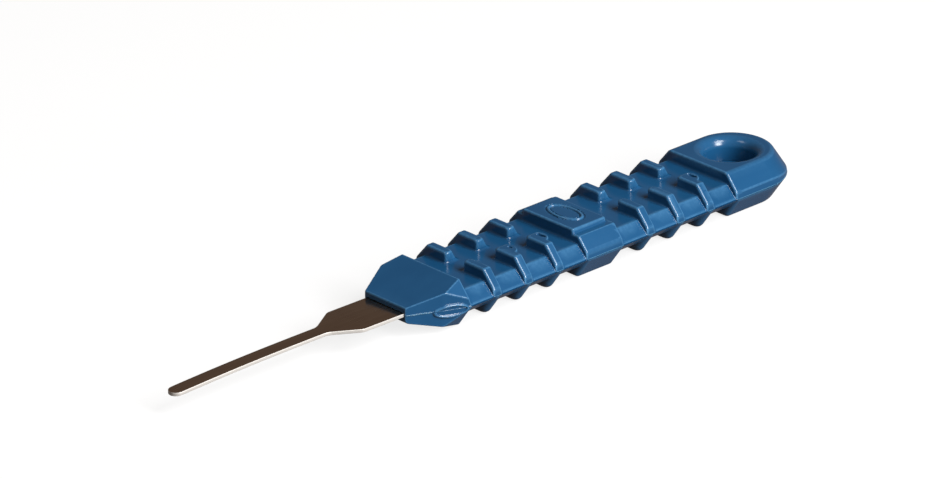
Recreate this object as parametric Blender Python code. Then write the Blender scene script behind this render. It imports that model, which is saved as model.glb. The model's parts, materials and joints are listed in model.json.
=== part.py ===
"""Spudger: a thin steel prying blade held between two moulded handle shells.

Frame: metres, +Z up. The tool lies flat on its lower shell. +X runs from the
blade's tip to the hanging hole, +Y is across the handle, and the origin is the
centre of the footprint, on the plane that the tool rests on.

The handle is a clamshell: both halves carry the same shape about a flat parting
plane at half the handle's thickness. Lengths below are in millimetres and the
vertices are scaled to metres as each mesh is made. Heights "above the parting
plane" count upwards in the upper shell and downwards in the lower one.
"""
import math
from itertools import combinations

import bmesh
import bpy
import numpy as np
from mathutils import Vector

MM = 0.001

# ---------------------------------------------------------------- dimensions
PART_Z = 4.82            # height of the parting plane above the resting plane
HALF_T = 4.82            # half thickness of the handle over its teeth
HALF_W = 11.0            # half width at the parting plane
TOP_HALF_W = 7.87        # half width of the flat tops
LAND_H = 1.2             # the vertical land beside the parting plane
SEAM = 0.15              # each shell stops this far from the parting plane

FLOOR_H = 2.29           # height of the valleys' floor
FLOOR_HALF_W = 8.69      # half width of the valleys' floor
FLOOR_LAND_H = 0.4       # land left beside the parting plane in a valley

X_TOOTH = -7.425         # front of the first tooth
PITCH = 8.28             # tooth to tooth
TOOTH_SLOTS = (0, 1, 2, 5, 6, 7)
TOOTH_TOP = 1.9          # length of a tooth's flat top
REAR_SLOPE = 0.553       # run of the rear faces for each unit of depth
CHANNEL_HALF_W = 2.22    # half width of the channel between the two rows

PAD_FRONT = X_TOOTH + 3 * PITCH
PAD_REAR = 27.2          # rear edge of the pad's shoulder
PAD_SHOULDER_H = 4.1
PLATE_REAR = 26.4
PLATE_HALF_W = 6.9
PLATE_H = 5.08
PLATE_DRAFT = 0.12

EJECTOR_SLOTS = (1, 2, 7)    # teeth of the near row that carry an ejector boss
EJECTOR_R = 2.5
EJECTOR_X = 1.15             # boss axis behind the tooth's front
EJECTOR_Y = -3.95

NOSE_FRONT = -25.585
NOSE_FRONT_H = 1.6
NOSE_REAR = -13.645
NOSE_FRONT_HALF_W = 5.75
NOSE_BEND = (-18.475, 9.0)   # the side walls open out to here, then less steeply
NOSE_WIDE_X = -13.1          # where the nose's side walls reach the full width
EMBLEM_HALF = (3.4, 1.35)    # plain raised oval on the nose's -Y wall
EMBLEM_X = -17.2
EMBLEM_DROP = 0.3            # its centre is this far below the parting plane
EMBLEM_H = 0.25

TAIL_FRONT = X_TOOTH + 8 * PITCH
TAIL_ARC_X = 68.775          # centre of the tail's round end
TAIL_TOP_R = 8.0
TAIL_LAND_DROP = 0.85    # the land narrows by this much round the tail's end
HOLE_X = 67.875
HOLE_R = 5.1
HOLE_RIM_R = 2.0             # radius rolled over both mouths of the hole

BLADE_T = 0.7
BLADE_TIP = -79.775
SHANK_HALF_W = 5.2
SHOULDER_X = -35.8
NECK_X = -41.8
ARM_HALF_W = 1.6
BOW = 0.35                   # how far the arm is bowed upwards
TANG_END = 36.5
TANG_HALF_W = 3.6
TANG_STEP_X = -11.5
TANG_HOLES = (-18.0, 22.0)
TANG_HOLE_R = 1.6

PEG_R = 1.3
SOCKET_R = 1.6
PEG_TOP = 1.9                # how far the pegs reach past the parting plane
TAIL_PEG_X = 61.7            # one more peg each side, clear of the hanging hole
TAIL_PEG_Y = 6.6
FIT = 0.3                    # clearance all round the tang and the pegs

BADGE_X = 22.2               # plain raised loop on the pad, where a mark would go
BADGE_HALF = (2.25, 3.9)
BADGE_W = 0.5
BADGE_H = 0.18


# ------------------------------------------------------------------- helpers
def clear_scene():
    for ob in list(bpy.data.objects):
        bpy.data.objects.remove(ob, do_unlink=True)


def material(name, colour, roughness, metallic=0.0):
    mat = bpy.data.materials.new(name)
    mat.use_nodes = True
    bsdf = next(n for n in mat.node_tree.nodes if n.type == "BSDF_PRINCIPLED")
    bsdf.inputs["Base Color"].default_value = (*colour, 1.0)
    bsdf.inputs["Roughness"].default_value = roughness
    bsdf.inputs["Metallic"].default_value = metallic
    mat.diffuse_color = (*colour, 1.0)
    return mat


def mesh_object(name, bm, collection=None):
    bmesh.ops.recalc_face_normals(bm, faces=bm.faces)
    mesh = bpy.data.meshes.new(name)
    bm.to_mesh(mesh)
    bm.free()
    ob = bpy.data.objects.new(name, mesh)
    (collection or bpy.context.scene.collection).objects.link(ob)
    return ob


def hull(name, points, collection):
    """A convex solid through the points, with its flat faces merged."""
    bm = bmesh.new()
    for p in points:
        bm.verts.new([c * MM for c in p])
    bmesh.ops.remove_doubles(bm, verts=bm.verts, dist=1e-7)
    found = bmesh.ops.convex_hull(bm, input=bm.verts)
    spare = [v for v in found["geom_interior"] + found["geom_unused"]
             if isinstance(v, bmesh.types.BMVert)]
    if spare:
        bmesh.ops.delete(bm, geom=list(set(spare)), context="VERTS")
    bmesh.ops.dissolve_limit(bm, angle_limit=math.radians(0.2),
                             verts=bm.verts, edges=bm.edges)
    return mesh_object(name, bm, collection)


def from_planes(name, planes, collection):
    """A convex solid bounded by planes (nx, ny, nz, d), inside n.p <= d."""
    n = np.array([p[:3] for p in planes], float)
    d = np.array([p[3] for p in planes], float)
    corners = []
    for i in combinations(range(len(planes)), 3):
        a = n[list(i)]
        if abs(np.linalg.det(a)) < 1e-9:
            continue
        p = np.linalg.solve(a, d[list(i)])
        if (n @ p <= d + 1e-6).all():
            corners.append(p)
    return hull(name, corners, collection)


def prism(name, outline, low, high, collection):
    """A vertical prism over an outline of (x, y) points."""
    bm = bmesh.new()
    face = bm.faces.new([bm.verts.new((x * MM, y * MM, low * MM)) for x, y in outline])
    grown = bmesh.ops.extrude_face_region(bm, geom=[face])
    top = [g for g in grown["geom"] if isinstance(g, bmesh.types.BMVert)]
    bmesh.ops.translate(bm, verts=top, vec=(0, 0, (high - low) * MM))
    return mesh_object(name, bm, collection)


def lathe(name, profile, at, segments, collection):
    """A turned solid: profile (radius, height) from top to bottom, both on the axis."""
    bm = bmesh.new()
    rings = []
    for r, z in profile:
        if r < 1e-9:
            rings.append([bm.verts.new((at[0] * MM, at[1] * MM, z * MM))])
            continue
        ring = []
        for k in range(segments):
            a = 2 * math.pi * k / segments
            ring.append(bm.verts.new(((at[0] + r * math.cos(a)) * MM,
                                      (at[1] + r * math.sin(a)) * MM, z * MM)))
        rings.append(ring)
    for upper, lower in zip(rings, rings[1:]):
        for k in range(segments):
            m = (k + 1) % segments
            quad = [upper[k % len(upper)], upper[m % len(upper)],
                    lower[m % len(lower)], lower[k % len(lower)]]
            unique = list(dict.fromkeys(quad))
            if len(unique) > 2:
                bm.faces.new(unique)
    return mesh_object(name, bm, collection)


def cylinder(name, at, radius, low, high, segments, collection):
    return lathe(name, [(0, high), (radius, high), (radius, low), (0, low)],
                 at, segments, collection)


def arc(cx, cy, r, start, end, steps):
    return [(cx + r * math.cos(math.radians(start + (end - start) * k / steps)),
             cy + r * math.sin(math.radians(start + (end - start) * k / steps)))
            for k in range(steps + 1)]


def combine(name, first, others, operation):
    """Boolean of first with every object in a collection, as a new mesh."""
    mod = first.modifiers.new("combine", "BOOLEAN")
    mod.operation = operation
    mod.solver = "EXACT"
    mod.operand_type = "COLLECTION"
    mod.collection = others
    mod.use_self = True
    bpy.context.view_layer.update()
    solid = bpy.data.meshes.new_from_object(
        first.evaluated_get(bpy.context.evaluated_depsgraph_get()))
    for ob in [first] + list(others.objects):
        bpy.data.objects.remove(ob, do_unlink=True)
    bpy.data.collections.remove(others)
    out = bpy.data.objects.new(name, solid)
    bpy.context.scene.collection.objects.link(out)
    return out


def group(name):
    coll = bpy.data.collections.new(name)
    bpy.context.scene.collection.children.link(coll)
    return coll


# ------------------------------------------------- planes of the moulded form
def unit(a, b):
    length = math.hypot(a, b)
    return a / length, b / length


# the flank: from the edge of the flat tops down to the land
FLANK = unit(HALF_T - LAND_H, HALF_W - TOP_HALF_W)
FLANK_D = FLANK[0] * TOP_HALF_W + FLANK[1] * HALF_T
# the same in the valleys
VALE = unit(FLOOR_H - FLOOR_LAND_H, HALF_W - FLOOR_HALF_W)
VALE_D = VALE[0] * FLOOR_HALF_W + VALE[1] * FLOOR_H


def flank(side):
    return (0, side * FLANK[0], FLANK[1], FLANK_D)


def rear(x_top, top):
    """The sloped rear faces: one under the flat top and one beside each flank."""
    k = REAR_SLOPE
    planes = [(1, 0, k, x_top + k * top)]
    for s in (1, -1):
        planes.append((1, s * k * FLANK[0], k * FLANK[1], x_top + k * FLANK_D))
    return planes


def side_walls(inset=0.0):
    """The nose's side walls, which open out in two flats to the full width."""
    planes = []
    for (x0, y0), (x1, y1) in (((NOSE_FRONT, NOSE_FRONT_HALF_W), NOSE_BEND),
                               (NOSE_BEND, (NOSE_WIDE_X, HALF_W))):
        n = unit(-(y1 - y0) / (x1 - x0), 1.0)
        d = n[0] * x0 + n[1] * y0 - inset
        planes += [(n[0], s * n[1], 0, d) for s in (1, -1)]
    return planes


def outer_form(coll, upper):
    """The solids whose union is one shell's outside, above z = SEAM."""
    down = (0, 0, -1, -SEAM)
    width = [(0, 1, 0, HALF_W), (0, -1, 0, HALF_W)]
    core = from_planes("core", [
        down, (0, 0, 1, FLOOR_H), (0, VALE[0], VALE[1], VALE_D),
        (0, -VALE[0], VALE[1], VALE_D), (-1, 0, 0, 17.4),
        (1, 0, 0, TAIL_FRONT + 2.0), *width, *side_walls(0.02)], coll)

    # nose: a wedge that thins towards the blade
    slope = (HALF_T - NOSE_FRONT_H) / (NOSE_REAR - NOSE_FRONT)
    ramp = unit(-slope, 1.0)
    from_planes("nose", [
        down, (0, 0, 1, HALF_T), (ramp[0], 0, ramp[1],
                                  ramp[0] * NOSE_REAR + ramp[1] * HALF_T),
        flank(1), flank(-1), (-1, 0, 0, -NOSE_FRONT), *width, *side_walls(),
        *rear(NOSE_REAR, HALF_T)], coll)

    # two rows of grip teeth
    for slot in TOOTH_SLOTS:
        front = X_TOOTH + slot * PITCH
        for s in (1, -1):
            from_planes("tooth", [
                down, (0, 0, 1, HALF_T), flank(s), (0, s, 0, HALF_W),
                (0, -s, 0.03, -CHANNEL_HALF_W + 0.03 * HALF_T), (-1, 0, 0, -front),
                *rear(front + TOOTH_TOP, HALF_T)], coll)

    # centre pad: on the upper shell a raised plate inside a lower shoulder
    shoulder = PAD_SHOULDER_H if upper else HALF_T
    from_planes("pad", [
        down, (0, 0, 1, shoulder), flank(1), flank(-1), (-1, 0, 0, -PAD_FRONT),
        *width, *rear(PAD_REAR, shoulder)], coll)
    if upper:
        from_planes("plate", [
            (0, 0, -1, -2.0), (0, 0, 1, PLATE_H), (-1, 0, 0, -PAD_FRONT),
            (1, 0, PLATE_DRAFT, PLATE_REAR + PLATE_DRAFT * PLATE_H),
            *[(0, s, PLATE_DRAFT, PLATE_HALF_W + PLATE_DRAFT * PLATE_H)
              for s in (1, -1)]], coll)

    # tail: a block with a conical round end
    rings = []
    for z, r in ((HALF_T, TAIL_TOP_R), (LAND_H, HALF_W), (SEAM, HALF_W)):
        drop = TAIL_LAND_DROP if z == LAND_H else 0.0
        rings += [(TAIL_FRONT, -r, z), (TAIL_FRONT, r, z)]
        rings += [(x, y, z - drop * (x - TAIL_ARC_X) / HALF_W)
                  for x, y in arc(TAIL_ARC_X, 0, r, -90, 90, 32)]
    hull("tail", rings, coll)
    return core


def hole_cutter(coll):
    """The hanging hole, with its rolled rim, for a shell above the parting plane."""
    steps = 8
    flare = [(0, HALF_T + 1.0), (HOLE_R + HOLE_RIM_R, HALF_T + 1.0)]
    for k in range(steps + 1):
        a = math.radians(90 * k / steps)
        flare.append((HOLE_R + HOLE_RIM_R * (1 - math.sin(a)),
                      HALF_T - HOLE_RIM_R * (1 - math.cos(a))))
    flare += [(HOLE_R, -1.0), (0, -1.0)]
    return lathe("hole", flare, (HOLE_X, 0), 64, coll)


def tang_outline(grow):
    """The blade's hidden end in plan, with its step, plus a clearance."""
    h, w = SHANK_HALF_W + grow, TANG_HALF_W + grow
    step = TANG_STEP_X + grow
    r = 2.0
    end = TANG_END + grow
    pts = [(NOSE_FRONT - 1.0, -h), (step - 1.2, -h), (step, -w)]
    pts += arc(end - r, -w + r, r, -90, 0, 4)
    pts += arc(end - r, w - r, r, 0, 90, 4)
    pts += [(step, w), (step - 1.2, h), (NOSE_FRONT - 1.0, h)]
    return pts


def ejector_bosses(coll):
    """Round bosses behind three teeth, cut off flush with the teeth's fronts."""
    for slot in EJECTOR_SLOTS:
        front = X_TOOTH + slot * PITCH
        cx = front + EJECTOR_X
        half = math.degrees(math.acos(-EJECTOR_X / EJECTOR_R))
        rim = arc(cx, EJECTOR_Y, EJECTOR_R, -half, half, 20)
        taper = 1.06
        low = [(cx + (x - cx) * taper, EJECTOR_Y + (y - EJECTOR_Y) * taper)
               for x, y in rim]
        pts = [(max(x, front), y, HALF_T) for x, y in rim]
        pts += [(max(x, front), y, FLOOR_H - 0.6) for x, y in low]
        hull("boss", pts, coll)


def badge(coll):
    """A plain oval loop raised on the plate."""
    def oval(a, b):
        return [(BADGE_X + a * math.cos(2 * math.pi * k / 40),
                 b * math.sin(2 * math.pi * k / 40)) for k in range(40)]

    outer = oval(*BADGE_HALF)
    inner = oval(BADGE_HALF[0] - BADGE_W, BADGE_HALF[1] - BADGE_W)
    bm = bmesh.new()
    rows = []
    for ring, z in ((outer, PLATE_H - 0.3), (outer, PLATE_H + BADGE_H),
                    (inner, PLATE_H + BADGE_H), (inner, PLATE_H - 0.3)):
        rows.append([bm.verts.new((x * MM, y * MM, z * MM)) for x, y in ring])
    for a, b in zip(rows, rows[1:] + rows[:1]):
        for k in range(40):
            m = (k + 1) % 40
            bm.faces.new((a[k], a[m], b[m], b[k]))
    mesh_object("badge", bm, coll)


def emblem(coll, upper):
    """One shell's share of a plain oval pad on the nose's -Y wall."""
    bend_x, bend_y = NOSE_BEND
    run = math.hypot(NOSE_WIDE_X - NOSE_FRONT, HALF_W - NOSE_FRONT_HALF_W)
    along = ((NOSE_WIDE_X - NOSE_FRONT) / run, -(HALF_W - NOSE_FRONT_HALF_W) / run)
    out = (along[1], -along[0])
    cx, cy = EMBLEM_X, -bend_y - (EMBLEM_X - bend_x) * 0.42
    middle = -EMBLEM_DROP if upper else EMBLEM_DROP
    pts = []
    for k in range(48):
        a = 2 * math.pi * k / 48
        for depth, shrink in ((EMBLEM_H, 0.93), (-0.6, 1.0)):
            u = EMBLEM_HALF[0] * math.cos(a) * shrink
            z = middle + EMBLEM_HALF[1] * math.sin(a) * shrink
            pts.append((cx + u * along[0] + depth * out[0],
                        cy + u * along[1] + depth * out[1], z))
    outline = hull("emblem_whole", pts, bpy.context.scene.collection)
    bm = bmesh.new()
    bm.from_mesh(outline.data)
    bmesh.ops.bisect_plane(bm, geom=bm.verts[:] + bm.edges[:] + bm.faces[:],
                           plane_co=(0, 0, SEAM * MM), plane_no=(0, 0, 1),
                           clear_inner=True, dist=1e-7)
    bmesh.ops.holes_fill(bm, edges=[e for e in bm.edges if e.is_boundary])
    bpy.data.objects.remove(outline, do_unlink=True)
    mesh_object("emblem", bm, coll)


def placed(ob, upper):
    """Move a shell from parting-plane heights to its place, mirrored if lower."""
    mesh = ob.data
    for v in mesh.vertices:
        z = v.co.z if upper else -v.co.z
        v.co.z = z + PART_Z * MM
    if not upper:
        mesh.flip_normals()
    mesh.update()


def shell(name, upper, mat):
    forms = group(name + "_forms")
    first = outer_form(forms, upper)
    emblem(forms, upper)
    if upper:
        ejector_bosses(forms)
        badge(forms)
    forms.objects.unlink(first)
    bpy.context.scene.collection.objects.link(first)
    body = combine(name + "_outside", first, forms, "UNION")

    cuts = group(name + "_cuts")
    hole_cutter(cuts)
    prism("tang_pocket", tang_outline(FIT), -1.0, BLADE_T / 2 + FIT, cuts)
    if upper:
        for x in TANG_HOLES:
            cylinder("socket", (x, 0), SOCKET_R, -1.0, PEG_TOP + FIT, 32, cuts)
        for s in (1, -1):
            cylinder("socket", (TAIL_PEG_X, s * TAIL_PEG_Y), SOCKET_R,
                     -1.0, PEG_TOP + FIT, 32, cuts)
    body = combine(name, body, cuts, "DIFFERENCE")

    if not upper:
        pegs = group(name + "_pegs")
        floor = BLADE_T / 2 + FIT
        tip = 0.3
        for x in TANG_HOLES:
            lathe("peg", [(0, floor + 0.5), (PEG_R, floor + 0.5),
                          (PEG_R, -PEG_TOP + tip), (PEG_R - tip, -PEG_TOP),
                          (0, -PEG_TOP)], (x, 0), 32, pegs)
        for s in (1, -1):
            lathe("peg", [(0, SEAM + 0.5), (PEG_R, SEAM + 0.5),
                          (PEG_R, -PEG_TOP + tip), (PEG_R - tip, -PEG_TOP),
                          (0, -PEG_TOP)], (TAIL_PEG_X, s * TAIL_PEG_Y), 32, pegs)
        body = combine(name, body, pegs, "UNION")

    bm = bmesh.new()
    bm.from_mesh(body.data)
    bmesh.ops.remove_doubles(bm, verts=bm.verts, dist=2e-7)
    bmesh.ops.dissolve_limit(bm, angle_limit=math.radians(0.05),
                             verts=bm.verts, edges=bm.edges)
    bmesh.ops.triangulate(bm, faces=bm.faces)
    bm.to_mesh(body.data)
    bm.free()
    placed(body, upper)
    body.name = name
    body.data.name = name
    body.data.materials.clear()
    body.data.materials.append(mat)
    body.data.shade_smooth()
    body.data.set_sharp_from_angle(angle=math.radians(25))
    return body


# --------------------------------------------------------------------- blade
def half_width(x):
    """Half width of the exposed blade and tang at a place along it."""
    if x > TANG_STEP_X:
        return TANG_HALF_W
    if x > TANG_STEP_X - 1.2:
        f = (x - TANG_STEP_X + 1.2) / 1.2
        return SHANK_HALF_W + f * (TANG_HALF_W - SHANK_HALF_W)
    if x > SHOULDER_X:
        return SHANK_HALF_W
    if x > NECK_X:
        f = (SHOULDER_X - x) / (SHOULDER_X - NECK_X)
        return SHANK_HALF_W + f * (ARM_HALF_W - SHANK_HALF_W)
    return ARM_HALF_W


def bow(x):
    """Height of the blade's middle: flat in the handle, gently arched outside."""
    free = NOSE_FRONT - x
    if free <= 0:
        return 0.0
    t = free / (NOSE_FRONT - BLADE_TIP)
    return BOW * math.sin(math.pi * t) * (0.55 + 0.45 * t) - 0.25 * t ** 4


def blade(mat):
    r = ARM_HALF_W
    stations = [(BLADE_TIP + r * (1 - math.cos(a)), r * math.sin(a))
                for a in [math.radians(90 * k / 8) for k in range(1, 9)]]
    xs = list(np.linspace(BLADE_TIP + r, NECK_X, 15))[1:]
    xs += list(np.linspace(NECK_X, SHOULDER_X, 4))[1:]
    xs += list(np.linspace(SHOULDER_X, NOSE_FRONT, 5))[1:]
    xs += [TANG_STEP_X - 1.2, TANG_STEP_X]
    stations += [(x, half_width(x)) for x in xs]
    corner = 2.0
    for k in range(5):
        a = math.radians(90 * k / 4)
        stations.append((TANG_END - corner * (1 - math.sin(a)),
                         TANG_HALF_W - corner * (1 - math.cos(a))))

    bm = bmesh.new()
    t = BLADE_T / 2
    rows = []
    for x, w in stations:
        z = PART_Z + bow(x)
        rows.append([bm.verts.new((x * MM, y * MM, zz * MM)) for y, zz in
                     ((-w, z + t), (w, z + t), (w, z - t), (-w, z - t))])
    for a, b in zip(rows, rows[1:]):
        for k in range(4):
            m = (k + 1) % 4
            bm.faces.new((a[k], a[m], b[m], b[k]))
    bm.faces.new(rows[-1])
    z = PART_Z + bow(BLADE_TIP)
    tips = [bm.verts.new((BLADE_TIP * MM, 0, (z + s * t) * MM)) for s in (1, -1)]
    first = rows[0]
    bm.faces.new((first[0], first[1], tips[0]))
    bm.faces.new((first[2], first[3], tips[1]))
    bm.faces.new((first[1], first[2], tips[1], tips[0]))
    bm.faces.new((first[3], first[0], tips[0], tips[1]))
    body = mesh_object("blade_strip", bm)

    cuts = group("blade_cuts")
    for x in TANG_HOLES:
        cylinder("hole", (x, 0), TANG_HOLE_R, PART_Z - 2, PART_Z + 2, 32, cuts)
    body = combine("blade", body, cuts, "DIFFERENCE")
    bm = bmesh.new()
    bm.from_mesh(body.data)
    bmesh.ops.triangulate(bm, faces=bm.faces)
    bm.to_mesh(body.data)
    bm.free()
    body.name = "blade"
    body.data.name = "blade"
    body.data.materials.clear()
    body.data.materials.append(mat)
    body.data.shade_smooth()
    body.data.set_sharp_from_angle(angle=math.radians(25))
    return body


def main():
    clear_scene()
    blue_upper = material("upper_shell_plastic", (0.024, 0.098, 0.205), 0.34)
    blue_lower = material("lower_shell_plastic", (0.024, 0.098, 0.205), 0.34)
    steel = material("blade_steel", (0.42, 0.39, 0.36), 0.22, 1.0)
    tool = bpy.data.objects.new("spudger", None)
    bpy.context.scene.collection.objects.link(tool)
    for piece in (shell("upper_handle_shell", True, blue_upper),
                  shell("lower_handle_shell", False, blue_lower),
                  blade(steel)):
        piece.parent = tool


main()
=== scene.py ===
"""Looks for the spudger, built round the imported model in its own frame.

The two handle shells are meshed from one implicit form: flat moulded faces whose
edges and inner corners are rounded as a mould would round them. The blade is a
swept strip with sheared edges. Lengths here are in millimetres until a mesh is
made; heights h are measured from the parting plane, outwards in each shell.
"""

import json
import math

import bmesh
import bpy
import numpy as np
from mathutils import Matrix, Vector

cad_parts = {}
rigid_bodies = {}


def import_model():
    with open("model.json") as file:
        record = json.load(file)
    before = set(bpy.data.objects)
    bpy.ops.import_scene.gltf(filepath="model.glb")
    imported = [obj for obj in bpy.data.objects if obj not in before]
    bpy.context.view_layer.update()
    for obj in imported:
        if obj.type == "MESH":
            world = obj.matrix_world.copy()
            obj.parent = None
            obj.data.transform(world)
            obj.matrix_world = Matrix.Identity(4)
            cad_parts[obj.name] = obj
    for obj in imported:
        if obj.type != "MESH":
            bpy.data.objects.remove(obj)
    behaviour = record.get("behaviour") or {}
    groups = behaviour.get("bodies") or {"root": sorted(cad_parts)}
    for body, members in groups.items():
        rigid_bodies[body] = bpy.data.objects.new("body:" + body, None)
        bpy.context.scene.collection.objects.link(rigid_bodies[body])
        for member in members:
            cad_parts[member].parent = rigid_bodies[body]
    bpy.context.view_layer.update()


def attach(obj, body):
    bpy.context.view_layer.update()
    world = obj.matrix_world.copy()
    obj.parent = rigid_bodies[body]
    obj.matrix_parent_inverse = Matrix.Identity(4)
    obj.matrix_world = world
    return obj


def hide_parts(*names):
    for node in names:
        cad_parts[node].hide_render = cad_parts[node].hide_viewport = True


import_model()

MM = 0.001

# ----------------------------------------------------------------- dimensions
PART_Z = 4.82
HALF_T = 4.82
HALF_W = 11.0
BODY_HALF_W = 10.89      # the flash on the parting line reaches 10.99
TOP_HALF_W = 7.87
LAND_H = 1.2
FLOOR_H = 2.29
FLOOR_HALF_W = 8.69
X_TOOTH = -7.425
PITCH = 8.28
TOOTH_SLOTS = (0, 1, 2, 5, 6, 7)
TOOTH_TOP = 1.9
REAR_SLOPE = 0.553
CHANNEL_HALF_W = 2.22
PAD_FRONT = X_TOOTH + 3 * PITCH
PAD_REAR = 27.2
PAD_SHOULDER_H = 4.1
PLATE_REAR = 26.4
PLATE_HALF_W = 6.9
PLATE_H = 5.08
PLATE_DRAFT = 0.12
EJECTOR_SLOTS = (1, 2, 7)
EJECTOR_R = 2.5
EJECTOR_X = 1.15
EJECTOR_Y = -3.95
NOSE_FRONT = -25.585
NOSE_FRONT_H = 1.6
NOSE_REAR = -13.645
NOSE_FRONT_HALF_W = 5.75
NOSE_BEND = (-18.475, 9.0)
NOSE_WIDE_X = -13.1
EMBLEM_HALF = (3.4, 1.35)
EMBLEM_X = -17.2
EMBLEM_DROP = 0.3
EMBLEM_H = 0.34
TAIL_FRONT = X_TOOTH + 8 * PITCH
TAIL_ARC_X = 68.775
TAIL_TOP_R = 8.0
TAIL_LAND_DROP = 0.85
LAP = 0.14               # the upper shell's rim laps down over the lower one
LAP_W = 1.3
LOWER_LAND_H = 0.25
HOLE_X = 67.875
HOLE_R = 5.1
HOLE_RIM_R = 2.0
BLADE_T = 0.7
BLADE_TIP = -79.775
SHANK_HALF_W = 5.2
SHOULDER_X = -35.8
NECK_X = -41.8
ARM_HALF_W = 1.6
BOW = 0.35
TANG_END = 36.5
TANG_HALF_W = 3.6
TANG_STEP_X = -11.5
TANG_HOLES = (-18.0, 22.0)
TANG_HOLE_R = 1.6
PEG_R = 1.3
PEG_TOP = 1.9
TAIL_PEG_X = 61.7
TAIL_PEG_Y = 6.6
BADGE_X = 22.2
BADGE_HALF = (2.55, 4.4)
BADGE_W = 0.6
BADGE_H = 0.18


def unit(a, b):
    length = math.hypot(a, b)
    return a / length, b / length


FLANK = unit(HALF_T - LAND_H, HALF_W - TOP_HALF_W)
FLANK_D = FLANK[0] * TOP_HALF_W + FLANK[1] * HALF_T


# ------------------------------------------------------------- implicit form
def smax(a, b, k):
    """Intersection with an edge rounded over k."""
    m = np.maximum(k - np.abs(a - b), 0.0)
    return np.maximum(a, b) + m * m * (0.25 / k)


def smin(a, b, k):
    """Union with a fillet of k in the corner."""
    return -smax(-a, -b, k)


def rear_faces(x, ay, h, x_top, top, r):
    k = REAR_SLOPE
    n = math.sqrt(1 + k * k)
    under_top = (x + k * h - (x_top + k * top)) / n
    beside = (x + k * FLANK[0] * ay + k * FLANK[1] * h - (x_top + k * FLANK_D)) / n
    return smax(under_top, beside, 0.09 * r + 0.01)


def outline(x, y):
    """Plan outline of the handle at the parting plane, inside the flash."""
    rho = np.hypot(np.maximum(x - TAIL_ARC_X, 0.0), y)
    d = rho - BODY_HALF_W
    for (x0, y0), (x1, y1) in (((NOSE_FRONT, NOSE_FRONT_HALF_W), NOSE_BEND),
                               (NOSE_BEND, (NOSE_WIDE_X, HALF_W))):
        n = unit(-(y1 - y0) / (x1 - x0), 1.0)
        wall = n[0] * (x - x0) + n[1] * (np.abs(y) - y0) + (HALF_W - BODY_HALF_W)
        d = smax(d, wall, 0.03)
    return d


def ellipse_distance(u, v, a, b):
    """First-order distance to an ellipse with half axes a and b."""
    q = np.sqrt((u / a) ** 2 + (v / b) ** 2) + 1e-6
    g = np.sqrt((u / a ** 2) ** 2 + (v / b ** 2) ** 2) + 1e-6
    return (q - 1) * q / g


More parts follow.
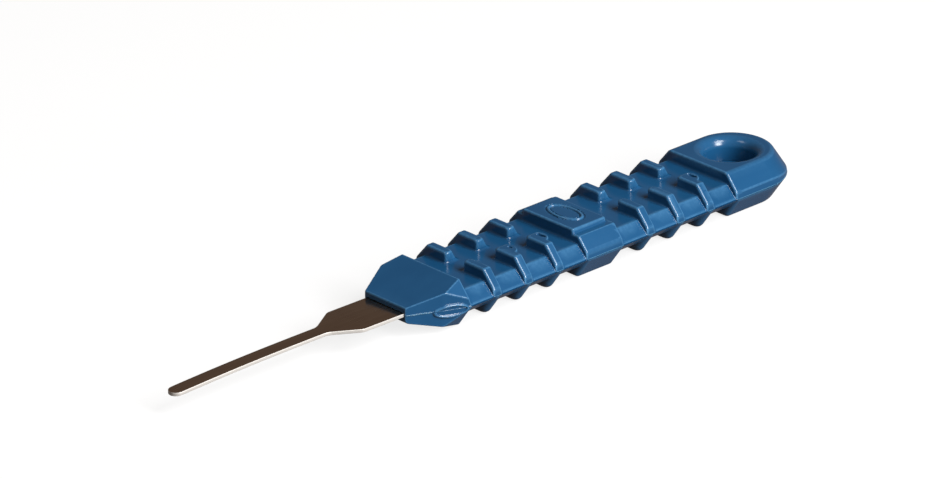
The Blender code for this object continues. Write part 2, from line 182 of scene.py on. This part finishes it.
def shell_form(x, y, h, upper):
    """Negative inside one shell. x and y as in the frame, h outwards."""
    r = 0.40 if upper else 0.95          # radius of the outer edges
    fillet = 0.62 if upper else 0.8      # radius of the inner corners
    ay = np.abs(y)
    side = outline(x, y)
    top = h - HALF_T
    land_h = LAND_H if upper else LOWER_LAND_H
    fy, fh = unit(HALF_T - land_h, HALF_W - TOP_HALF_W)
    flank = fy * (ay - TOP_HALF_W) + fh * (h - HALF_T)

    # valleys
    near = np.clip((FLOOR_HALF_W - 0.1 - ay) / 1.5, 0.0, 1.0)
    fillet = fillet * (0.2 + 0.8 * near)       # the corners tighten outside the floor
    if upper:
        floor_h, half = FLOOR_H + 0.2, FLOOR_HALF_W - 0.38
        vy, vh = unit(floor_h + 0.02, HALF_W - half)
        body = smax(h - floor_h, vy * (ay - half) + vh * (h - floor_h), 0.16)
    else:
        vy, vh = unit(FLOOR_H - LAP, HALF_W - FLOOR_HALF_W)
        body = smax(h - FLOOR_H, vy * (ay - FLOOR_HALF_W) + vh * (h - FLOOR_H), 0.3)
    body = smax(body, side + 0.06, 0.1)
    body = smax(body, -17.4 - x, 0.1)
    body = smax(body, x - TAIL_FRONT - 2.0, 0.1)

    # grip teeth
    channel = CHANNEL_HALF_W - ay + 0.03 * (h - HALF_T)
    for slot in TOOTH_SLOTS:
        front = X_TOOTH + slot * PITCH
        tooth = smax(flank, rear_faces(x, ay, h, front + TOOTH_TOP, HALF_T, r),
                     0.22 if upper else 0.9)
        tooth = smax(tooth, channel, 1.2 if upper else 0.9)
        if upper and slot in EJECTOR_SLOTS:
            radius = EJECTOR_R + (HALF_T - h) * 0.05
            boss = np.hypot(x - front - EJECTOR_X, y - EJECTOR_Y) - radius
            tooth = smin(tooth, boss, 0.25)
        tooth = smax(tooth, top, 0.22 if upper else 1.0)
        tooth = smax(tooth, smax(channel, front - x, 0.95), 0.55 if upper else 1.4)
        body = smin(body, tooth, fillet)

    # nose
    slope = (HALF_T - NOSE_FRONT_H) / (NOSE_REAR - NOSE_FRONT)
    ramp = unit(-slope, 1.0)
    nose = smax(top, ramp[0] * (x - NOSE_REAR) + ramp[1] * (h - HALF_T), 0.14)
    nose = smax(nose, flank, 0.3 * r)
    nose = smax(nose, rear_faces(x, ay, h, NOSE_REAR, HALF_T, r), 0.4 * r)
    nose = smax(nose, NOSE_FRONT - x, 0.8 * r)
    body = smin(body, nose, 0.35)

    # centre pad
    shoulder = PAD_SHOULDER_H if upper else HALF_T
    pad = smax(h - shoulder, flank, 0.3 * r)
    pad = smax(pad, rear_faces(x, ay, h, PAD_REAR, shoulder, r), 0.5 * r)
    if upper:
        plate = smax(h - PLATE_H,
                     smax(ay - PLATE_HALF_W + PLATE_DRAFT * (h - PLATE_H),
                          x - PLATE_REAR + PLATE_DRAFT * (h - PLATE_H), 0.5), 0.3)
        pad = smin(pad, plate, 0.22)
        moat = smax(np.abs(ellipse_distance(x - BADGE_X, y, BADGE_HALF[0] - BADGE_W / 2,
                                            BADGE_HALF[1] - BADGE_W / 2)) - BADGE_W,
                    PLATE_H - 0.17 - h, 0.08)
        pad = smax(pad, -moat, 0.08)
        loop = np.abs(ellipse_distance(x - BADGE_X, y, BADGE_HALF[0] - BADGE_W / 2,
                                       BADGE_HALF[1] - BADGE_W / 2)) - BADGE_W / 2
        pad = smin(pad, smax(loop, h - PLATE_H - BADGE_H, 0.3), 0.06)
    pad = smax(pad, PAD_FRONT - x, 1.15 * r)
    body = smin(body, pad, fillet)

    # tail, with its rolled hanging hole
    a = HOLE_R - np.hypot(x - HOLE_X, y) + HOLE_RIM_R
    b = top + HOLE_RIM_R
    rim = (np.minimum(np.maximum(a, b), 0.0)
           + np.hypot(np.maximum(a, 0.0), np.maximum(b, 0.0)) - HOLE_RIM_R)
    rho = np.hypot(np.maximum(x - TAIL_ARC_X, 0.0), y)
    round_end = np.clip((x - TAIL_ARC_X) / np.maximum(rho, 1.0), 0, 1)
    round_end = round_end * round_end * (3 - 2 * round_end)
    land = land_h * (1 - min(1.25 * TAIL_LAND_DROP / LAND_H, 1.0) * round_end)
    rise, run = HALF_T - land, HALF_W - TAIL_TOP_R
    cone = (rise * (rho - HALF_W) + run * (h - land)) / np.hypot(rise, run)
    tail = smax(rim, cone, 0.5)
    tail = smax(tail, TAIL_FRONT - x, 1.15 * r)
    body = smin(body, tail, fillet)

    # the land beside the parting line
    soft = np.interp(x, [-14.0, -12.5, TAIL_FRONT + 0.6, TAIL_FRONT + 2.0],
                     [0.14, 0.36, 0.36, 0.14]) if upper else 0.14
    body = smax(body, side, soft)

    # plain oval pad across the parting line, on the nose's near wall
    middle = -EMBLEM_DROP if upper else EMBLEM_DROP
    oval = ellipse_distance(x - EMBLEM_X, h - middle, *EMBLEM_HALF)
    pad_out = side - EMBLEM_H
    emblem = smax(smax(pad_out, oval, 0.3), y, 0.1)
    body = smin(body, emblem, 0.06)
    field = smax(oval + 0.5, 0.08 - side, 0.2)
    body = smax(body, -smax(field, y, 0.1), 0.16)

    if upper:
        for slot, size in ((1, (0.24, 0.55, 0.5)), (2, (0.42, 1.2, 0.85)),
                           (7, (0.42, 1.2, 0.85))):
            front = X_TOOTH + slot * PITCH
            q = np.sqrt(((x - front - 2.6) / size[0]) ** 2
                        + ((y - EJECTOR_Y + 0.1) / size[1]) ** 2
                        + (top / size[2]) ** 2)
            body = smax(body, -(q - 1) * size[0], 0.07)

    # flash along the parting line
    drop = LAP * np.clip((x - NOSE_BEND[0]) / 6.0, 0.0, 1.0)
    lap = drop * np.clip((side + LAP_W + 0.15) / 0.15, 0.0, 1.0)
    level = h + lap if upper else h - lap
    lip = smax(side - 0.1, h + drop - 0.11 if upper else h - drop - 0.11, 0.08)
    lip = smax(lip, NOSE_FRONT + 0.12 - x, 0.04)
    body = smin(body, lip, 0.04)

    # parting face, the tang's pocket, pegs and sockets
    body = smax(body, 0.012 - level, 0.02)
    tang = np.interp(x, [-12.7, -11.5], [SHANK_HALF_W, TANG_HALF_W]) + 0.07
    pocket = np.maximum(np.maximum(ay - tang, h - BLADE_T / 2 - 0.07), x - TANG_END - 0.3)
    body = smax(body, -pocket, 0.03)
    spots = [(x0, 0.0) for x0 in TANG_HOLES]
    spots += [(TAIL_PEG_X, -TAIL_PEG_Y), (TAIL_PEG_X, TAIL_PEG_Y)]
    for px, py in spots:
        rr = np.hypot(x - px, y - py)
        if upper:
            hole = smax(rr - PEG_R - 0.12, h - PEG_TOP - 0.2, 0.1)
            body = smax(body, -hole, 0.05)
        else:
            peg = smax(smax(rr - PEG_R, -h - PEG_TOP, 0.3), h - 1.2, 0.1)
            body = smin(body, peg, 0.05)
    return body


# ------------------------------------------------- meshing an implicit solid
def surface_net(values, xs, ys, zs):
    """One vertex in each cell the surface crosses, one quad across each crossed edge."""
    axes = (xs, ys, zs)
    inside = values < 0
    shape = tuple(n - 1 for n in values.shape)
    total = [np.zeros(shape) for _ in range(3)]
    count = np.zeros(shape)
    crossed = []
    for axis in range(3):
        lo = [slice(None)] * 3
        hi = [slice(None)] * 3
        lo[axis], hi[axis] = slice(None, -1), slice(1, None)
        va, vb = values[tuple(lo)], values[tuple(hi)]
        cross = inside[tuple(lo)] != inside[tuple(hi)]
        i, j, k = np.nonzero(cross)
        at = (i, j, k)
        t = va[at] / (va[at] - vb[at])
        point = [axes[b][at[b]] for b in range(3)]
        a0 = axes[axis][at[axis]]
        a1 = axes[axis][at[axis] + 1]
        point[axis] = a0 + t * (a1 - a0)
        others = [b for b in range(3) if b != axis]
        for d0 in (0, -1):
            for d1 in (0, -1):
                cell = [at[0].copy(), at[1].copy(), at[2].copy()]
                cell[others[0]] = cell[others[0]] + d0
                cell[others[1]] = cell[others[1]] + d1
                good = np.ones(len(i), bool)
                for b in range(3):
                    good &= (cell[b] >= 0) & (cell[b] < shape[b])
                idx = tuple(c[good] for c in cell)
                for b in range(3):
                    np.add.at(total[b], idx, point[b][good])
                np.add.at(count, idx, 1)
        crossed.append((axis, others, at, inside[tuple(lo)][at]))
    used = count > 0
    number = np.full(shape, -1, np.int64)
    number[used] = np.arange(int(used.sum()))
    points = np.stack([total[b][used] / count[used] for b in range(3)], 1)
    quads = []
    for axis, others, at, starts_inside in crossed:
        corners = []
        for d0, d1 in ((0, 0), (-1, 0), (-1, -1), (0, -1)):
            cell = [at[0], at[1], at[2]]
            cell[others[0]] = cell[others[0]] + d0
            cell[others[1]] = cell[others[1]] + d1
            corners.append(number[tuple(cell)])
        q = np.stack(corners, 1)
        turn = starts_inside ^ (axis == 1)
        q[~turn] = q[~turn][:, ::-1]
        quads.append(q)
    return points, np.concatenate(quads)


def gradient(form, p, eps=0.006):
    g = np.empty_like(p)
    for b in range(3):
        step = np.zeros(3)
        step[b] = eps
        g[:, b] = (form(*(p + step).T) - form(*(p - step).T)) / (2 * eps)
    return g


def curvature(form, p, eps=0.03):
    c = np.zeros(len(p))
    f0 = form(*p.T)
    for b in range(3):
        step = np.zeros(3)
        step[b] = eps
        c += (form(*(p + step).T) + form(*(p - step).T) - 2 * f0) / eps ** 2
    return c


def steps(*runs):
    out = [runs[0][0]]
    for lo, hi, d in runs:
        n = max(1, int(round((hi - lo) / d)))
        out += list(np.linspace(lo, hi, n + 1)[1:])
    return np.array(out)


def implicit_mesh(name, form, xs, ys, hs, place):
    values = form(xs[:, None, None], ys[None, :, None], hs[None, None, :])
    points, quads = surface_net(values, xs, ys, hs)
    for _ in range(3):
        f = form(*points.T)
        g = gradient(form, points)
        n2 = np.maximum((g ** 2).sum(1), 0.05)
        move = (f / n2)[:, None] * g
        size = np.sqrt((move ** 2).sum(1))
        move *= np.minimum(1.0, 0.12 / np.maximum(size, 1e-9))[:, None]
        points = points - move

    sign = place
    mesh = bpy.data.meshes.new(name)
    co = points.copy()
    co[:, 2] = PART_Z + sign * co[:, 2]
    if sign < 0:
        quads = quads[:, ::-1]
    mesh.from_pydata((co * MM).tolist(), [], quads.tolist())
    bm = bmesh.new()
    bm.from_mesh(mesh)
    # flat areas merge tile by tile, which keeps their faces small
    tile = 2.6
    centre = (co[quads].mean(1) + 200.0) // tile
    tag = (centre[:, 0] * 10000 + centre[:, 1] * 100 + centre[:, 2]).astype(int).tolist()
    for e in bm.edges:
        fs = e.link_faces
        if len(fs) == 2 and tag[fs[0].index] != tag[fs[1].index]:
            e.seam = True
    bmesh.ops.dissolve_limit(bm, angle_limit=math.radians(0.35), delimit={"SEAM"},
                             verts=bm.verts, edges=bm.edges)
    bmesh.ops.triangulate(bm, faces=[f for f in bm.faces if len(f.verts) > 4])
    bm.to_mesh(mesh)
    bm.free()
    mesh.update()

    n = len(mesh.vertices)
    p = np.empty(n * 3)
    mesh.vertices.foreach_get("co", p)
    p = p.reshape(-1, 3) / MM
    p[:, 2] = (p[:, 2] - PART_Z) * sign
    g = gradient(form, p)
    g /= np.maximum(np.sqrt((g ** 2).sum(1)), 1e-6)[:, None]
    bend = curvature(form, p)
    # convex edges: this mask carries both edge wear and a painted edge highlight
    edge = np.clip(bend / 2.2, 0, 1)
    # painted highlight: the edge tint is raised on the forward-facing corners beside the parting line, so
    # the edge highlight runs on down to the lip
    lip_edge_highlight = np.clip((1.7 - p[:, 2]) / 0.5, 0, 1) * np.clip((outline(p[:, 0], p[:, 1]) + 0.5) / 0.3, 0, 1)
    lip_edge_highlight = lip_edge_highlight * np.clip((-g[:, 0] - 0.15) / 0.3, 0, 1) * (p[:, 0] > -13.0)
    edge = edge * (1 + (1.4 * lip_edge_highlight if sign > 0 else 0.0))
    # painted shade: concave corners and creases are marked for a darker base colour
    corner = np.clip(-bend / 1.6, 0, 1)
    side = outline(p[:, 0], p[:, 1])
    on_emblem = (np.abs(p[:, 0] - EMBLEM_X) < EMBLEM_HALF[0] + 0.1) & (p[:, 1] < 0)
    # lighter colour along the parting-line flash: partly pale thin flash, partly a painted highlight of
    # the lip
    flash = np.clip((side - 0.01) / 0.05, 0, 1) * ~on_emblem
    g[:, 2] *= sign
    mesh.shade_smooth()
    mesh.normals_split_custom_set_from_vertices(g.tolist())
    for key, data in (("edge", edge), ("corner", corner), ("flash", flash)):
        layer = mesh.attributes.new(key, "FLOAT", "POINT")
        layer.data.foreach_set("value", data.astype(np.float32))
    ob = bpy.data.objects.new(name, mesh)
    bpy.context.scene.collection.objects.link(ob)
    return ob


def handle_shell(name, upper):
    fine = 0.2
    xs = steps((NOSE_FRONT - 0.5, TAIL_ARC_X + 11.5, fine))
    ys = steps((-11.4, 11.4, fine))
    if upper:
        hs = [(-0.7, -0.4, 0.05), (-0.4, -0.05, 0.117), (-0.05, 0.2, 0.05),
              (0.2, 0.5, 0.1), (0.5, 5.5, fine)]
    else:
        hs = [(-PEG_TOP - 0.3, -0.05, 0.2), (-0.05, 0.2, 0.05), (0.2, 0.45, 0.083),
              (0.45, 0.75, 0.05), (0.75, 5.35, fine)]
    return implicit_mesh(name, lambda x, y, h: shell_form(x, y, h, upper),
                         xs, ys, steps(*hs), 1 if upper else -1)


# ---------------------------------------------------------------------- blade
def bow(x):
    free = NOSE_FRONT - x
    if free <= 0:
        return 0.0
    t = free / (NOSE_FRONT - BLADE_TIP)
    return BOW * math.sin(math.pi * t) * (0.55 + 0.45 * t) - 0.25 * t ** 4


def soft_corner(x, at, before, after, run):
    """Half width round a corner of the outline: two slopes joined by an arc."""
    f = min(max((x - at + run) / (2 * run), 0.0), 1.0)
    base = before(x) if x < at - run else after(x) if x > at + run else None
    if base is not None:
        return base
    y0, y1 = before(at - run), after(at + run)
    m = before(at)
    return (1 - f) ** 2 * y0 + 2 * f * (1 - f) * m + f * f * y1


def half_width(x):
    rise = (SHANK_HALF_W - ARM_HALF_W) / (SHOULDER_X - NECK_X)
    slant = lambda v: ARM_HALF_W + (v - NECK_X) * rise
    if x < (NECK_X + SHOULDER_X) / 2:
        return soft_corner(x, NECK_X, lambda v: ARM_HALF_W, slant, 0.9)
    if x < -20:
        return soft_corner(x, SHOULDER_X, slant, lambda v: SHANK_HALF_W, 0.55)
    if x < TANG_STEP_X - 1.2:
        return SHANK_HALF_W
    if x < TANG_STEP_X:
        f = (x - TANG_STEP_X + 1.2) / 1.2
        return SHANK_HALF_W + f * (TANG_HALF_W - SHANK_HALF_W)
    return TANG_HALF_W


def blade():
    r = ARM_HALF_W
    stations = [(BLADE_TIP + r * (1 - math.cos(a)), r * math.sin(a))
                for a in [math.radians(90 * k / 20) for k in range(1, 21)]]
    xs = list(steps((BLADE_TIP + r, NECK_X - 1.2, 0.7), (NECK_X - 1.2, NECK_X + 1.2, 0.15),
                    (NECK_X + 1.2, SHOULDER_X - 0.8, 0.5),
                    (SHOULDER_X - 0.8, SHOULDER_X + 0.8, 0.12),
                    (SHOULDER_X + 0.8, NOSE_FRONT, 0.8), (NOSE_FRONT, TANG_STEP_X - 1.2, 1.2),
                    (TANG_STEP_X - 1.2, TANG_STEP_X, 1.2), (TANG_STEP_X, TANG_END - 2, 4.0)))[1:]
    stations += [(x, half_width(x)) for x in xs]
    for k in range(1, 9):
        a = math.radians(90 * k / 8)
        stations.append((TANG_END - 2 * (1 - math.sin(a)), TANG_HALF_W - 2 * (1 - math.cos(a))))

    t = BLADE_T / 2
    roll, nick = 0.12, 0.07          # the rolled top edge and the broken lower edge
    section = []
    for cy, cz, rad, start in ((1, 1, roll, 0), (-1, 1, roll, 90),
                               (-1, -1, nick, 180), (1, -1, nick, 270)):
        for k in range(5):
            a = math.radians(start + 90 * k / 4)
            section.append((cy, cz, rad, math.cos(a), math.sin(a)))
    bm = bmesh.new()
    rows = []
    for x, w in stations:
        z = PART_Z + bow(x)
        ring = []
        for cy, cz, rad, ca, sa in section:
            rad_y = min(rad, w * 0.6)
            ring.append(bm.verts.new(((x) * MM, (cy * (w - rad_y) + rad_y * ca) * MM,
                                      (z + cz * (t - rad) + rad * sa) * MM)))
        rows.append(ring)
    n = len(section)
    for a, b in zip(rows, rows[1:]):
        for k in range(n):
            m = (k + 1) % n
            bm.faces.new((a[k], a[m], b[m], b[k]))
    bm.faces.new(rows[-1])
    # the round tip closes on a short upright edge
    z = PART_Z + bow(BLADE_TIP)
    bm.faces.new(list(reversed(rows[0])))
    bmesh.ops.recalc_face_normals(bm, faces=bm.faces)
    mesh = bpy.data.meshes.new("blade_strip")
    bm.to_mesh(mesh)
    bm.free()
    strip = bpy.data.objects.new("blade_strip", mesh)
    bpy.context.scene.collection.objects.link(strip)

    cutters = bpy.data.collections.new("tang_holes")
    bpy.context.scene.collection.children.link(cutters)
    for x in TANG_HOLES:
        bm = bmesh.new()
        bmesh.ops.create_cone(bm, cap_ends=True, segments=48, radius1=TANG_HOLE_R * MM,
                              radius2=TANG_HOLE_R * MM, depth=3 * MM)
        bmesh.ops.translate(bm, verts=bm.verts, vec=(x * MM, 0, PART_Z * MM))
        m = bpy.data.meshes.new("tang_hole")
        bm.to_mesh(m)
        bm.free()
        cutters.objects.link(bpy.data.objects.new("tang_hole", m))
    mod = strip.modifiers.new("holes", "BOOLEAN")
    mod.operation = "DIFFERENCE"
    mod.operand_type = "COLLECTION"
    mod.collection = cutters
    bpy.context.view_layer.update()
    solid = bpy.data.meshes.new_from_object(
        strip.evaluated_get(bpy.context.evaluated_depsgraph_get()))
    for ob in [strip] + list(cutters.objects):
        bpy.data.objects.remove(ob, do_unlink=True)
    bpy.data.collections.remove(cutters)
    solid.shade_smooth()
    solid.set_sharp_from_angle(angle=math.radians(32))

    n = len(solid.vertices)
    p = np.empty(n * 3)
    solid.vertices.foreach_get("co", p)
    p = p.reshape(-1, 3) / MM
    wide = np.array([half_width(x) if x > BLADE_TIP + r else
                     math.sqrt(max(r * r - (BLADE_TIP + r - x) ** 2, 0)) for x in p[:, 0]])
    rim = ((wide - np.abs(p[:, 1])) < 0.1).astype(float)
    layer = solid.attributes.new("edge", "FLOAT", "POINT")
    layer.data.foreach_set("value", rim.astype(np.float32))
    ob = bpy.data.objects.new("spring_steel_blade", solid)
    bpy.context.scene.collection.objects.link(ob)
    return ob


# ------------------------------------------------------------------ materials
class Nodes:
    def __init__(self, name):
        self.material = bpy.data.materials.new(name)
        self.material.use_nodes = True
        self.tree = self.material.node_tree
        self.bsdf = next(n for n in self.tree.nodes if n.type == "BSDF_PRINCIPLED")

    def add(self, kind, **values):
        node = self.tree.nodes.new(kind)
        for key, value in values.items():
            if key in node.inputs:
                node.inputs[key].default_value = value
            else:
                setattr(node, key, value)
        return node

    def link(self, a, b):
        self.tree.links.new(a, b)

    def coords(self, scale=(1, 1, 1)):
        tc = self.add("ShaderNodeTexCoord")
        mp = self.add("ShaderNodeMapping")
        mp.inputs["Scale"].default_value = scale
        self.link(tc.outputs["Object"], mp.inputs["Vector"])
        return mp.outputs["Vector"]

    def noise(self, vector, scale, detail=3.0, rough=0.55):
        n = self.add("ShaderNodeTexNoise")
        n.inputs["Scale"].default_value = scale
        n.inputs["Detail"].default_value = detail
        n.inputs["Roughness"].default_value = rough
        self.link(vector, n.inputs["Vector"])
        return n.outputs["Fac"]

    def remap(self, value, lo, hi, a, b, smooth=False):
        m = self.add("ShaderNodeMapRange")
        if smooth:
            m.interpolation_type = "SMOOTHSTEP"
        for key, v in (("From Min", lo), ("From Max", hi), ("To Min", a), ("To Max", b)):
            m.inputs[key].default_value = v
        self.link(value, m.inputs["Value"])
        return m.outputs["Result"]

    def math(self, op, a, b):
        m = self.add("ShaderNodeMath", operation=op)
        for socket, v in zip(m.inputs, (a, b)):
            if isinstance(v, (int, float)):
                socket.default_value = v
            else:
                self.link(v, socket)
        return m.outputs[0]

    def mix(self, factor, a, b):
        m = self.add("ShaderNodeMix", data_type="RGBA")
        sockets = (m.inputs[0], m.inputs[6], m.inputs[7])
        for socket, v in zip(sockets, (factor, a, b)):
            if isinstance(v, (int, float)):
                socket.default_value = v
            elif isinstance(v, tuple):
                socket.default_value = (*v, 1.0)
            else:
                self.link(v, socket)
        return m.outputs[2]

    def attribute(self, name):
        n = self.add("ShaderNodeAttribute")
        n.attribute_name = name
        return n.outputs["Fac"]


def plastic():
    m = Nodes("moulded_blue_plastic")
    v = m.coords()
    cloud = m.noise(v, 70.0, 2.0)
    flow = m.noise(m.coords((0.35, 1.0, 1.0)), 240.0, 3.0)
    grain = m.noise(v, 5200.0, 2.0)
    speck = m.noise(v, 1500.0, 2.0)
    base = m.mix(m.remap(cloud, 0.35, 0.65, 0.0, 1.0), (0.0072, 0.060, 0.150),
                 (0.0095, 0.069, 0.168))
    base = m.mix(m.remap(flow, 0.45, 0.7, 0.0, 0.22), base, (0.012, 0.078, 0.182))
    # lighter blue on convex edges: partly wear, partly a painted highlight along the rounded edges
    edge = m.attribute("edge")
    wear_and_highlight = m.math("MULTIPLY", edge, m.remap(speck, 0.4, 0.62, 0.34, 0.5))
    base = m.mix(wear_and_highlight, base, (0.07, 0.21, 0.38))
    # painted shade: concave corners get a darker base colour
    base = m.mix(m.math("MULTIPLY", m.attribute("corner"), 0.35), base,
                 (0.008, 0.055, 0.14))
    # flash tint: partly pale thin flash, partly a painted highlight along the parting line
    base = m.mix(m.math("MULTIPLY", m.attribute("flash"), 0.5), base,
                 (0.16, 0.36, 0.50))
    m.link(base, m.bsdf.inputs["Base Color"])
    rough = m.math("ADD", m.remap(cloud, 0.3, 0.7, 0.175, 0.215),
                   m.remap(speck, 0.4, 0.65, 0.0, 0.02))
    m.link(rough, m.bsdf.inputs["Roughness"])
    m.bsdf.inputs["IOR"].default_value = 1.5
    bump = m.add("ShaderNodeBump")
    bump.inputs["Strength"].default_value = 0.035
    bump.inputs["Distance"].default_value = 0.00003
    m.link(m.math("ADD", grain, m.math("MULTIPLY", m.noise(v, 420.0, 3.0), 2.2)),
           bump.inputs["Height"])
    m.link(bump.outputs["Normal"], m.bsdf.inputs["Normal"])
    return m.material


def steel():
    m = Nodes("brushed_spring_steel")
    along = m.coords((60.0, 2600.0, 2600.0))
    fine = m.noise(along, 1.0, 4.0, 0.7)
    broad = m.noise(m.coords((25.0, 420.0, 420.0)), 1.0, 3.0)
    stain = m.noise(m.coords(), 110.0, 3.0)
    base = m.mix(m.remap(broad, 0.3, 0.7, 0.0, 1.0), (0.49, 0.37, 0.30), (0.59, 0.455, 0.375))
    base = m.mix(m.remap(stain, 0.52, 0.75, 0.0, 0.5), base, (0.36, 0.24, 0.185))
    base = m.mix(m.attribute("edge"), base, (0.60, 0.575, 0.545))
    m.link(base, m.bsdf.inputs["Base Color"])
    m.link(m.remap(m.attribute("edge"), 0.0, 1.0, 1.0, 0.35), m.bsdf.inputs["Metallic"])
    rough = m.math("ADD", m.remap(fine, 0.3, 0.7, 0.15, 0.27),
                   m.remap(stain, 0.5, 0.7, 0.0, 0.06))
    rough = m.math("ADD", rough, m.math("MULTIPLY", m.attribute("edge"), 0.26))
    m.link(rough, m.bsdf.inputs["Roughness"])
    bump = m.add("ShaderNodeBump")
    bump.inputs["Strength"].default_value = 0.25
    bump.inputs["Distance"].default_value = 0.00001
    m.link(fine, bump.inputs["Height"])
    m.link(bump.outputs["Normal"], m.bsdf.inputs["Normal"])
    return m.material


def floor_material():
    m = Nodes("pale_floor")
    v = m.coords()
    tone = m.noise(v, 6.0, 2.0)
    pale = m.mix(m.remap(tone, 0.3, 0.7, 0.0, 1.0), (0.19, 0.19, 0.19), (0.20, 0.20, 0.20))
    path = m.add("ShaderNodeLightPath")
    seen = path.outputs["Is Camera Ray"]
    m.link(m.mix(seen, (0.07, 0.062, 0.056), pale), m.bsdf.inputs["Base Color"])
    # reflections get a dim warm floor, so the underside turns greyer at grazing angles
    mirrored = path.outputs["Is Glossy Ray"]
    m.link(m.mix(mirrored, (1.0, 1.0, 1.0), (1.0, 0.80, 0.72)), m.bsdf.inputs["Emission Color"])
    m.link(m.math("ADD", m.math("MULTIPLY", seen, 0.80), m.math("MULTIPLY", mirrored, 0.10)),
           m.bsdf.inputs["Emission Strength"])
    m.bsdf.inputs["Roughness"].default_value = 0.9
    m.bsdf.inputs["Specular IOR Level"].default_value = 0.1
    return m.material


# ----------------------------------------------------------------- the pieces
blue = plastic()
for node, title, upper in (("upper_handle_shell", "upper_shell_moulding", True),
                           ("lower_handle_shell", "lower_shell_moulding", False)):
    piece = handle_shell(title, upper)
    piece.data.materials.append(blue)
    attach(piece, "root")
    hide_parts(node)

strip = blade()
strip.data.materials.append(steel())
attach(strip, "root")
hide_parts("blade")

# ---------------------------------------------------- floor, light and camera
bm = bmesh.new()
bmesh.ops.create_grid(bm, x_segments=8, y_segments=8, size=3.0)
mesh = bpy.data.meshes.new("floor")
bm.to_mesh(mesh)
bm.free()
floor = bpy.data.objects.new("floor", mesh)
bpy.context.scene.collection.objects.link(floor)
floor.data.materials.append(floor_material())

world = bpy.data.worlds.new("studio")
bpy.context.scene.world = world
world.use_nodes = True
sky = next(n for n in world.node_tree.nodes if n.type == "BACKGROUND")
sky.inputs["Color"].default_value = (0.118, 0.092, 0.072, 1.0)
sky.inputs["Strength"].default_value = 1.0


def softbox(name, direction, distance, size, power, colour=(1, 1, 1), aim=(0.0, 0.0, 0.0)):
    data = bpy.data.lights.new(name, "AREA")
    data.shape = "RECTANGLE"
    data.size, data.size_y = size
    data.energy = power
    data.color = colour
    ob = bpy.data.objects.new(name, data)
    d = Vector(direction).normalized()
    ob.location = Vector(aim) + d * distance
    ob.rotation_euler = (-d).to_track_quat("-Z", "Y").to_euler()
    bpy.context.scene.collection.objects.link(ob)
    return ob


softbox("key_softbox", (0.17, -0.65, 0.75), 0.9, (0.40, 0.42), 7.2)
softbox("front_softbox", (0.11, -0.91, 0.40), 0.9, (0.36, 0.38), 9.6)
softbox("back_softbox", (-0.51, 0.23, 0.83), 0.9, (0.28, 0.26), 0.9)

cam = bpy.data.cameras.new("camera")
cam.sensor_width = 36.0
cam.lens = 6500 / 939 * 36.0
cam.clip_end = 20.0
eye = bpy.data.objects.new("camera", cam)
eye.location = (-0.787285, -0.81967, 0.52126)
eye.rotation_euler = Vector((0.6305, 0.6593, -0.4096)).to_track_quat("-Z", "Y").to_euler()
bpy.context.scene.collection.objects.link(eye)
bpy.context.scene.camera = eye
bpy.context.scene.view_settings.view_transform = "Standard"
bpy.context.scene.view_settings.look = "None"
